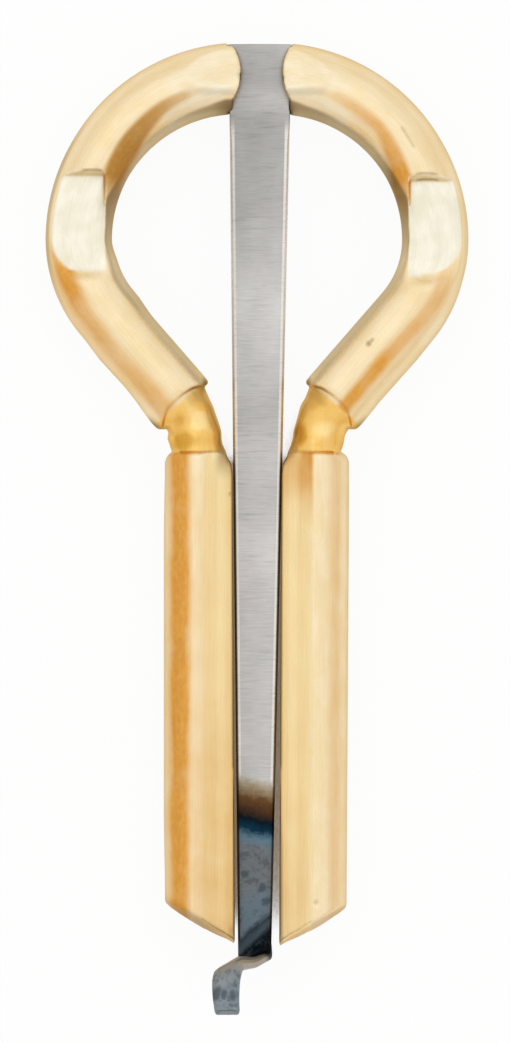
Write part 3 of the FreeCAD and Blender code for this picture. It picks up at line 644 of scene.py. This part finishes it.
# Darker and lighter shades of the brass, the colour of its painted shade and dirt, and what its
# reflections are tinted with
POLISHED = ((0.88, 0.70, 0.41), (0.91, 0.75, 0.49))
AMBER = ((0.70, 0.32, 0.055), (0.78, 0.41, 0.09))
GROUND_AND_HIGHLIGHT = ((0.84, 0.79, 0.63), (0.93, 0.89, 0.75))
FACET_GOLD = (0.97, 0.80, 0.45)
NECK_GOLD = ((0.0, (0.68, 0.36, 0.055)), (0.5, (0.90, 0.56, 0.16)), (1.0, (0.97, 0.72, 0.31)))
BRASS_SHADE_AND_DIRT = (0.13, 0.085, 0.035)
BRASS_TINT = (0.80, 0.67, 0.50, 1)
# How far the painted shade reaches out from a wall, and how deep the brushing is, in metres
BRASS_SHADE_REACH = 0.0009
BRUSHED_DEPTH = 0.00004


def make_brass():
    made, n = material("brass")
    grain = n.attribute("grain", "Vector")
    tarnish_and_shade, gold, tint = n.attribute("tarnish_and_shade"), n.attribute("gold"), n.attribute("tint")
    facet, pale, shade_and_grime = n.attribute("facet"), n.attribute("pale"), n.attribute("shade_and_grime")
    streaks = n.noise(grain, (0.25, 7.0, 7.0), 4.0, 0.6)
    brushed = n.noise(grain, (0.9, 22.0, 22.0), 3.0, 0.6)
    cloud = n.noise(grain, (0.35, 0.6, 0.6), 4.0, 0.55)
    mottle = n.noise(grain, (1.6, 2.4, 2.4), 5.0, 0.6)

    polished = n.mix(n.step(cloud, 0.35, 0.68), *POLISHED)
    polished = n.mix(facet, polished, FACET_GOLD)
    amber = n.mix(n.step(mottle, 0.3, 0.7), *AMBER)
    # The share of amber, which paints the flanks' shade as well as tarnish
    worn = n.times(tarnish_and_shade, n.plus(n.times(mottle, 0.3), 0.85), clamp=True)
    yellow = n.ramp(n.plus(tint, n.swing(mottle, 0.25), clamp=True), NECK_GOLD)
    # Pale ground brass, which also paints the highlight band on the head's inner side
    ground = n.mix(n.step(cloud, 0.35, 0.65), *GROUND_AND_HIGHLIGHT)
    colour = n.mix(worn, polished, amber)
    colour = n.mix(gold, colour, yellow)
    colour = n.mix(pale, colour, ground)
    colour = n.shaded(colour, n.plus(n.swing(streaks, 0.22), 1.0))
    # Painted shade in nooks that the AO node finds, joined with the painted shade and dirt of the mask
    crevice_shade = n.times(n.shelter(BRASS_SHADE_REACH, 0.30, 0.86), n.minus(0.7, n.times(gold, 0.4)))
    shade_and_dirt = n.larger(crevice_shade, n.times(shade_and_grime, 0.95), clamp=True)
    colour = n.mix(shade_and_dirt, colour, BRASS_SHADE_AND_DIRT)

    rough = n.plus(n.times(brushed, 0.12), 0.22)
    for share, rougher in ((tarnish_and_shade, 0.12), (pale, 0.12), (shade_and_dirt, 0.2)):
        rough = n.plus(rough, n.times(share, rougher), clamp=True)
    height = n.plus(n.times(streaks, 0.6), n.times(brushed, 0.4))
    height = n.plus(height, n.times(mottle, n.times(tarnish_and_shade, 1.5)))
    shader = n.metal(colour, rough, height, 0.35, BRUSHED_DEPTH)
    shader.inputs["Specular Tint"].default_value = BRASS_TINT
    return made


brass_frame = worn_copy("frame", "brass_frame")
wear_brass(brass_frame)
finish_brass(brass_frame)
brass_frame.data.materials.clear()
brass_frame.data.materials.append(make_brass())
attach(brass_frame, "frame")
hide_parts("frame")


# ---------------------------------------------------------------- shape of the steel tongue
# The middle of the strip's thickness, and how far right of the bow's middle its root lies
MID_Z = 3.3
HEAD_SHIFT = 0.25
# The root, which the frame's groove holds from its top down to the groove's mouth
ROOT_TOP = 17.55
ROOT_WIDTH = 5.8
MOUTH_Y = 11.22
# The strip's width and thickness at the mouth, and at the fold where the trigger starts
STRIP_WIDTH = 5.45
STRIP_THICK = 1.6
TIP_WIDTH = 3.0
TIP_THICK = 0.8
# The fold: its place, its slant, the length over which the strip turns to it, and its inner radius
FOLD_SHIFT = -0.2
FOLD_Y = 64.0
FOLD_SKEW = math.radians(25)
SKEW_RUN = 8.0
FOLD_RADIUS = 0.5
# The trigger's leg, set back by LEG_SET_BACK on its left part, and its finger, curled up at the end
LEG_HEIGHT = 5.0
LEG_TOP_WIDTH = 2.6
LEG_SET_BACK = 0.8
FINGER_RADIUS = 0.6
FINGER_LENGTH = 0.6
FINGER_WIDTH = 2.45
FINGER_TIP_WIDTH = 2.25
CURL_RADIUS = 2.2
CURL_ANGLE = math.radians(32)
# Where the set-back sets in and ends: along the strip at the leg's foot and top, and to the left
LEG_RISE = (81.9, 83.3)
FINGER_RUN = (88.4, 91.2)
LEFT_PART = (-0.1, 1.9)
# The front's bevels, in two steps: width of both and of the outer one, and how far each one drops
BEVEL = 0.55
OUTER_BEVEL = 0.2
BEVEL_DROP = 0.10
OUTER_DROP = 0.27
# The mesh: how round the edges are, points of an edge and across the front, steps along the strip
EDGE_ROUND = 0.07
EDGE_POINTS = 4
FACE_POINTS = 20
BLADE_STEP = 0.5
FOLD_STEPS = 14
CURL_SHARES = (0.2, 0.4, 0.6, 0.75, 0.87, 0.95, 1.0)
# The rounding of the strip's ends, from outside in: how far each ring is inset, and its distance in
END_RINGS = ((2 * EDGE_ROUND, 0.0), (0.6 * EDGE_ROUND, 0.4 * EDGE_ROUND), (0.0, 1.6 * EDGE_ROUND))


def smooth(value, low, high):
    """0 below low, 1 above high, smooth between."""
    share = min(max((value - low) / (high - low), 0.0), 1.0)
    return share * share * (3 - 2 * share)


def mixed(start, end, share):
    return start + (end - start) * share


def level_ways(skew):
    """The level directions across and along a strip turned by skew."""
    return Vector((math.cos(skew), math.sin(skew), 0)), Vector((math.sin(skew), -math.cos(skew), 0))


UP = Vector((0, 0, 1))
FOLD_LINE, AHEAD = level_ways(FOLD_SKEW)
# The fold's start, the radii of its middle and of the finger's bend, and the fold's length
CORNER = Vector((FOLD_SHIFT, -FOLD_Y, MID_Z))
FOLD = FOLD_RADIUS + TIP_THICK / 2
BEND = FINGER_RADIUS + TIP_THICK / 2
FOLD_RUN = FOLD * math.pi / 2


def leaning(travel):
    """How far the strip's middle slides along the slanted fold within travel from it."""
    return FOLD_LINE * -math.tan(FOLD_SKEW) * travel


def root_stations():
    count = round((ROOT_TOP - MOUTH_Y) / BLADE_STEP)
    for index in range(count):
        share = index / count
        centre = Vector((HEAD_SHIFT, mixed(ROOT_TOP, MOUTH_Y, share), MID_Z))
        yield centre, level_ways(0)[0], UP, mixed(ROOT_WIDTH, STRIP_WIDTH, share), STRIP_THICK, 0.0


def blade_stations():
    count = round((MOUTH_Y + FOLD_Y) / BLADE_STEP)
    for index in range(count + 1):
        share = index / count
        y = mixed(MOUTH_Y, -FOLD_Y, share)
        skew = FOLD_SKEW * max(0.0, 1 - (y + FOLD_Y) / SKEW_RUN)
        centre = Vector((mixed(HEAD_SHIFT, FOLD_SHIFT, share), y, MID_Z))
        width = mixed(STRIP_WIDTH, TIP_WIDTH, share) / math.cos(skew)
        thick = mixed(STRIP_THICK, TIP_THICK, share)
        yield centre, level_ways(skew)[0], UP, width, thick, BEVEL * smooth(MOUTH_Y - y, 0.2, 3.0)


def fold_stations():
    for index in range(1, FOLD_STEPS + 1):
        angle = math.pi / 2 * index / FOLD_STEPS
        centre = CORNER + UP * FOLD + (AHEAD * math.sin(angle) - UP * math.cos(angle)) * FOLD
        normal = UP * math.cos(angle) - AHEAD * math.sin(angle)
        width = TIP_WIDTH / math.cos(FOLD_SKEW)
        yield centre + leaning(FOLD * angle), FOLD_LINE, normal, width, TIP_THICK, BEVEL


def leg_stations():
    foot = CORNER + (UP + AHEAD) * FOLD
    count = round(LEG_HEIGHT / BLADE_STEP)
    for index in range(1, count + 1):
        share = index / count
        centre = foot + UP * LEG_HEIGHT * share + leaning(FOLD_RUN + LEG_HEIGHT * share)
        width = mixed(TIP_WIDTH, LEG_TOP_WIDTH, share) / math.cos(FOLD_SKEW)
        yield centre, FOLD_LINE, -AHEAD, width, TIP_THICK, BEVEL


def finger_stations(centre):
    """The bend over the leg's top, the short level finger and its curl; it turns square as it goes."""
    bend, curl = BEND * math.pi / 2, (CURL_RADIUS + TIP_THICK / 2) * CURL_ANGLE
    whole = bend + FINGER_LENGTH + curl
    even_shares = [(index + 1) / FOLD_STEPS for index in range(FOLD_STEPS)]
    walked = 0.0
    for length, climb, final_climb, shares in ((bend, math.pi / 2, 0.0, even_shares),
                                               (FINGER_LENGTH, 0.0, 0.0, (0.5, 1.0)),
                                               (curl, 0.0, CURL_ANGLE, CURL_SHARES)):
        for last_share, share in zip((0.0, *shares), shares):
            step = length * (share - last_share)
            middle = mixed(climb, final_climb, (share + last_share) / 2)
            angle = mixed(climb, final_climb, share)
            walked += step
            skew = FOLD_SKEW * (1 - smooth(walked, 0.2, 0.95 * whole))
            across, ahead = level_ways(skew)
            centre = centre + step * (
                ahead * math.cos(middle) + UP * math.sin(middle) - across * math.tan(skew))
            width = mixed(LEG_TOP_WIDTH, FINGER_TIP_WIDTH, smooth(walked, 0.0, whole))
            aside = (FINGER_WIDTH - width) / 2 * smooth(walked, 0.5 * whole, whole)
            cut = 0.5 * smooth(walked, 0.87 * whole, 1.04 * whole) ** 2
            yield (centre + across * aside, across, UP * math.cos(angle) - ahead * math.sin(angle),
                   width / math.cos(skew) - cut, TIP_THICK, BEVEL)


def tongue_stations():
    """Sections along the strip: centre, direction across, front normal, width, thickness, bevel."""
    stations = [*root_stations(), *blade_stations(), *fold_stations(), *leg_stations()]
    return [*stations, *finger_stations(stations[-1][0])]


def rounded_outline(corners, radius):
    """The outline with each corner cut to a small arc, and a close point on both sides of it."""
    outline = []
    for index, corner in enumerate(corners):
        before = corners[index - 1] - corner
        after = corners[(index + 1) % len(corners)] - corner
        reach = min(radius, before.length * 0.3, after.length * 0.3)
        start = corner + before.normalized() * reach
        end = corner + after.normalized() * reach
        outline.append(start + before.normalized() * reach * 0.4)
        for step in range(EDGE_POINTS):
            share = step / (EDGE_POINTS - 1)
            outline.append(start.lerp(corner, share).lerp(corner.lerp(end, share), share))
        outline.append(end + after.normalized() * reach * 0.4)
    return outline


def strip_ring(width, thick, bevel, inset):
    """A section's points, from the back's left corner round by the right, inset from its outline."""
    half, high = width / 2 - inset, thick / 2 - inset
    share = bevel / BEVEL
    flat = half - mixed(2 * EDGE_ROUND, BEVEL, share)
    rim = half - mixed(0.6 * EDGE_ROUND, OUTER_BEVEL, share)
    brow = high - mixed(0.6 * EDGE_ROUND, BEVEL_DROP, share)
    low = high - mixed(2 * EDGE_ROUND, BEVEL_DROP + OUTER_DROP, share)
    corners = [Vector(corner) for corner in (
        (-half, -high), (half, -high), (half, low), (rim, brow), (flat, high),
        (-flat, high), (-rim, brow), (-half, low))]
    points = rounded_outline(corners, EDGE_ROUND)
    # The wide front lies between the last point of its right corner and the first of its left one
    front = 5 * len(points) // len(corners)
    right, left = points[front - 1], points[front]
    across = [right.lerp(left, (step + 1) / (FACE_POINTS + 1)) for step in range(FACE_POINTS)]
    return points[:front] + across + points[front:]


def set_back(point, travelled):
    """Move a point of the leg's left part back."""
    on_leg = smooth(travelled, *LEG_RISE) * (1 - smooth(travelled, *FINGER_RUN))
    point.y += LEG_SET_BACK * on_leg * smooth(-point.x, *LEFT_PART)
    return point


def close_skin(mesh, rings):
    """Join the rings into one closed skin."""
    for ring, following in zip(rings, rings[1:]):
        for index, vert in enumerate(ring):
            after = (index + 1) % len(ring)
            mesh.faces.new((vert, ring[after], following[after], following[index]))
    mesh.faces.new(rings[0][::-1])
    mesh.faces.new(rings[-1])
    bmesh.ops.recalc_face_normals(mesh, faces=mesh.faces)


def build_tongue():
    """The whole strip as one closed mesh, with the distance along and across it kept at each point."""
    mesh = bmesh.new()
    along_layer, across_layer, depth_layer = [
        mesh.verts.layers.float.new(name) for name in ("along", "across", "depth")]
    stations = tongue_stations()
    rings, travelled, last = [], 0.0, stations[0][0]
    for index, (centre, across, normal, width, thick, bevel) in enumerate(stations):
        travelled += (centre - last).length
        last = centre
        insets = ((0.0, 0.0),)
        if index == 0:
            insets = END_RINGS
        elif index == len(stations) - 1:
            insets = [(inset, -push) for inset, push in reversed(END_RINGS)]
        for inset, push in insets:
            ring = []
            for side, front in strip_ring(width, thick, bevel, inset):
                point = centre + across * side + normal * front + across.cross(normal) * push
                vert = mesh.verts.new(place(set_back(point, travelled)))
                vert[along_layer], vert[across_layer], vert[depth_layer] = travelled, side, front
                ring.append(vert)
            rings.append(ring)
    close_skin(mesh, rings)
    data = bpy.data.meshes.new("steel_tongue")
    mesh.to_mesh(data)
    mesh.free()
    data.shade_smooth()
    return link(bpy.data.objects.new("steel_tongue", data))


# ---------------------------------------------------------------- finish of the steel
def tone(red, green, blue):
    """A colour from its 0 to 255 screen values."""
    return tuple(((part / 255 + 0.055) / 1.055) ** 2.4 if part > 10 else part / 255 / 12.92
                 for part in (red, green, blue))


# How the bare steel's grey drifts along the strip, by distance from the head in millimetres
GREY_RUN = ((0, 180), (3, 168), (5, 184), (7, 168), (14, 174), (18, 184), (24, 201), (29, 194),
            (33, 179), (37, 192), (41, 186), (46, 200), (52, 188), (60, 191))
GREY_SPAN = 80.0
# The colours that heat has left, by distance from the head: straw, bronze, blues, then scale
HEAT_START = 64.0
HEAT_SPAN = 32.0
STRAW, BRONZE, BROWN = (152, 135, 108), (104, 72, 44), (74, 50, 35)
NIGHT, BLUE, PALE_BLUE, SLATE = (12, 25, 35), (20, 54, 75), (95, 122, 138), (112, 117, 121)
DUSK, BLACK, WARM_GREY, ASH = (50, 60, 69), (13, 19, 23), (172, 165, 158), (137, 148, 154)
STEEL_BLUE, DARK_BLUE, CLEAR_GREY = (104, 119, 129), (67, 80, 88), (146, 148, 149)
HEAT_RUN = ((66.0, (186, 180, 168)), (67.0, STRAW), (67.9, BRONZE), (68.9, BROWN), (69.8, NIGHT),
            (70.7, BLUE), (71.4, PALE_BLUE), (72.4, SLATE), (75.5, SLATE), (77.3, STEEL_BLUE),
            (78.8, STEEL_BLUE), (79.5, DUSK), (80.0, DARK_BLUE), (80.4, DARK_BLUE), (80.9, BLACK),
            (82.9, BLACK), (84.1, WARM_GREY), (88.5, WARM_GREY), (89.5, CLEAR_GREY), (90.2, ASH),
            (93.2, ASH))
# Patches of dark scale: distance from the head, place across and radius
SCALE_PATCHES = ((90.6, -0.95, 0.75), (90.95, 0.55, 0.65), (90.7, -0.2, 0.5), (76.0, 0.7, 0.6),
                 (74.6, -0.9, 0.5), (77.3, 1.0, 0.5))
BLADE_END = ROOT_TOP + FOLD_Y
# How the front's flat part narrows along the strip, from half its width at the head
FLAT_HALF = STRIP_WIDTH / 2 - BEVEL + 0.16
FLAT_NARROWS = 0.0163
# The painted highlight on the blade's bevels
BEVEL_HIGHLIGHT = (0.74, 0.71, 0.68)
SCALE = (0.045, 0.06, 0.075)
STEEL_SHADE = (0.10, 0.075, 0.05)
# How far the painted shade reaches out from a wall, and how deep the grinding is, in metres
STEEL_SHADE_REACH = 0.0007
GRINDING_DEPTH = 0.00003


def heat_colour(n, heat_place):
    """The heat's colours by how far along they belong."""
    stops = [((mm - HEAT_START) / HEAT_SPAN, tone(*shade)) for mm, shade in HEAT_RUN]
    return n.ramp(n.math("DIVIDE", n.minus(heat_place, HEAT_START), HEAT_SPAN), stops, smooth=False)


def scale_share(n, spot, along, heat_place, mottle):
    """Dark scale in mottled spots beyond the blue, none on the trigger's leg, and in some patches."""
    share = n.times(n.step(heat_place, 71.5, 72.5), n.step(mottle, 0.48, 0.64))
    on_leg = n.minus(n.step(along, 81.6, 82.4), n.step(along, 88.8, 89.6))
    share = n.times(share, n.minus(0.5, n.times(on_leg, 0.5)))
    flat_spot = n.vector("MULTIPLY", spot, (1.0, 1.0, 0.0))["Vector"]
    for run, offset, radius in SCALE_PATCHES:
        away = n.vector("DISTANCE", flat_spot, (offset, run, 0.0))["Value"]
        ragged = n.plus(away, n.swing(mottle, 1.2))
        share = n.larger(share, n.times(n.step(ragged, radius, radius * 0.3), 0.68))
    return share


def make_steel():
    made, n = material("steel")
    along, across, depth = [n.attribute(name) for name in ("along", "across", "depth")]
    spot = n.add("CombineXYZ", X=across, Y=along, Z=depth).outputs[0]
    marks = n.noise(spot, (0.55, 11.0, 4.0), 3.0, 0.65)
    deep_marks = n.noise(spot, (0.35, 4.2, 2.0), 2.0, 0.5)
    cloud = n.noise(spot, (0.5, 0.3, 0.5), 3.0, 0.5)
    mottle = n.noise(spot, (1.3, 1.3, 1.3), 5.0, 0.7)

    greys = [(mm / GREY_SPAN, tone(level, level - 2, level - 5)) for mm, level in GREY_RUN]
    grey = n.ramp(n.math("DIVIDE", along, GREY_SPAN), greys)
    slant = n.times(across, n.minus(n.times(n.step(along, 72.0, 79.5), 0.75), 0.25))
    slant = n.times(slant, n.without(n.step(along, BLADE_END - 0.9, BLADE_END + 1.2)))
    heat_place = n.plus(n.plus(along, slant), n.swing(mottle, 1.3))
    heated = n.step(heat_place, 65.6, 66.6)
    colour = n.mix(heated, grey, heat_colour(n, heat_place))
    half_flat = n.plus(n.times(along, -FLAT_NARROWS), FLAT_HALF)
    off_flat = n.minus(n.math("ABSOLUTE", across), half_flat)
    # Painted highlight along the bevels, from past the mouth to where the heat colours start
    bevelled = n.times(n.step(off_flat, 0.0, 0.12), n.step(along, 6.4, 8.5))
    colour = n.mix(n.times(bevelled, n.without(heated)), colour, BEVEL_HIGHLIGHT)

    ground = n.without(n.step(along, 79.5, 81.5))
    lines = n.minus(n.swing(marks, 0.55), n.times(n.step(deep_marks, 0.54, 0.8), 0.16))
    shade = n.plus(n.plus(n.times(across, 0.035), 1.0), n.times(lines, ground))
    shade = n.plus(shade, n.swing(cloud, 0.26))
    colour = n.shaded(colour, shade)
    colour = n.mix(scale_share(n, spot, along, heat_place, mottle), colour, SCALE)
    # Painted shade in nooks, where the AO node finds the lips and the arms close
    colour = n.mix(n.times(n.shelter(STEEL_SHADE_REACH, 0.35, 0.85), 0.6), colour, STEEL_SHADE)

    rough = n.plus(n.times(marks, 0.2), 0.28)
    rough = n.plus(rough, n.times(heated, 0.14), clamp=True)
    height = n.times(n.plus(n.times(marks, 0.5), n.times(deep_marks, 0.6)), ground)
    height = n.plus(height, n.times(mottle, n.without(ground)))
    n.metal(colour, rough, height, 0.4, GRINDING_DEPTH)
    return made


tongue = build_tongue()
tongue.data.materials.append(make_steel())
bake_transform(tongue)
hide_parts("tongue_root", "tongue")


# ---------------------------------------------------------------- studio
WHITE = (1.0, 1.0, 1.0)
FLOOR_LEVEL = -0.00005
# The floor's shade close under the object, and how far away the object still darkens it
FLOOR_SHADE = (0.21, 0.15, 0.09)
SHADE_REACH = 0.010
# How much more open the floor counts in the bow, above the arms, than beside the arms
BOW_OPENING = 0.13
CARD_WHITE = (0.9, 0.9, 0.9, 1)
LOW_SKY = (0.86, 0.77, 0.65)
SKY_WAY = (0.0, 0.28, 0.96)
CAMERA_HEIGHT = 0.8
VIEW_LENGTH = 0.09388
VIEW_CENTRE = (-0.00018, 0.00049)


def make_floor():
    bpy.ops.mesh.primitive_plane_add(size=2.0, location=(0, 0, FLOOR_LEVEL))
    floor = bpy.context.object
    floor.name = "floor"
    made, n = material("white_table")
    path = n.add("LightPath").outputs
    seen = n.larger(path["Is Camera Ray"], path["Is Glossy Ray"])
    cover = n.add("AmbientOcclusion", Distance=SHADE_REACH).outputs["AO"]
    spot = n.add("SeparateXYZ", Vector=n.add("TexCoord").outputs["Object"]).outputs
    in_bow = n.step(spot["Y"], place((0, ARM_TOP_Y - 1.5, 0)).y, place((0, ARM_TOP_Y, 0)).y)
    open_share = n.plus(cover, n.times(in_bow, BOW_OPENING))
    shaded = n.mix(n.step(open_share, 0.15, 0.205), FLOOR_SHADE, WHITE)
    glow = n.add("Emission", Color=shaded, Strength=1.0).outputs[0]
    card = n.add("BsdfDiffuse", Color=CARD_WHITE).outputs[0]
    surface = n.add("MixShader", i0=n.times(seen, 0.93), i1=card, i2=glow).outputs[0]
    n.add("OutputMaterial", Surface=surface)
    floor.data.materials.append(made)


def make_world():
    world = bpy.data.worlds.new("studio")
    bpy.context.scene.world = world
    world.use_nodes = True
    n = Nodes(world.node_tree)
    where = n.add("TexCoord").outputs["Generated"]
    towards = n.vector("DOT_PRODUCT", where, SKY_WAY)["Value"]
    sky = n.mix(n.step(towards, -0.15, 0.8), LOW_SKY, WHITE)
    colour = n.mix(n.add("LightPath").outputs["Is Camera Ray"], sky, WHITE)
    n.add("OutputWorld", Surface=n.add("Background", Color=colour, Strength=1.0).outputs[0])


def make_lamp(name, location, size, power):
    """A square lamp that points at the middle of the scene."""
    lamp = bpy.data.lights.new(name, "AREA")
    lamp.size = size
    lamp.energy = power
    obj = link(bpy.data.objects.new(name, lamp))
    obj.location = location
    obj.rotation_mode = "QUATERNION"
    obj.rotation_quaternion = Vector(location).to_track_quat("Z", "Y")
    obj.visible_camera = False


def make_camera():
    """A camera straight above, that shows VIEW_LENGTH at the tongue's level from top to bottom."""
    data = bpy.data.cameras.new("camera")
    camera = link(bpy.data.objects.new("camera", data))
    camera.location = (*VIEW_CENTRE, CAMERA_HEIGHT + MID_Z * MM)
    data.lens = data.sensor_width * CAMERA_HEIGHT / VIEW_LENGTH
    bpy.context.scene.camera = camera


make_floor()
make_world()
make_lamp("key", (-0.1, 0.45, 0.95), 1.0, 0.35)
make_camera()
bpy.context.scene.view_settings.view_transform = "Standard"
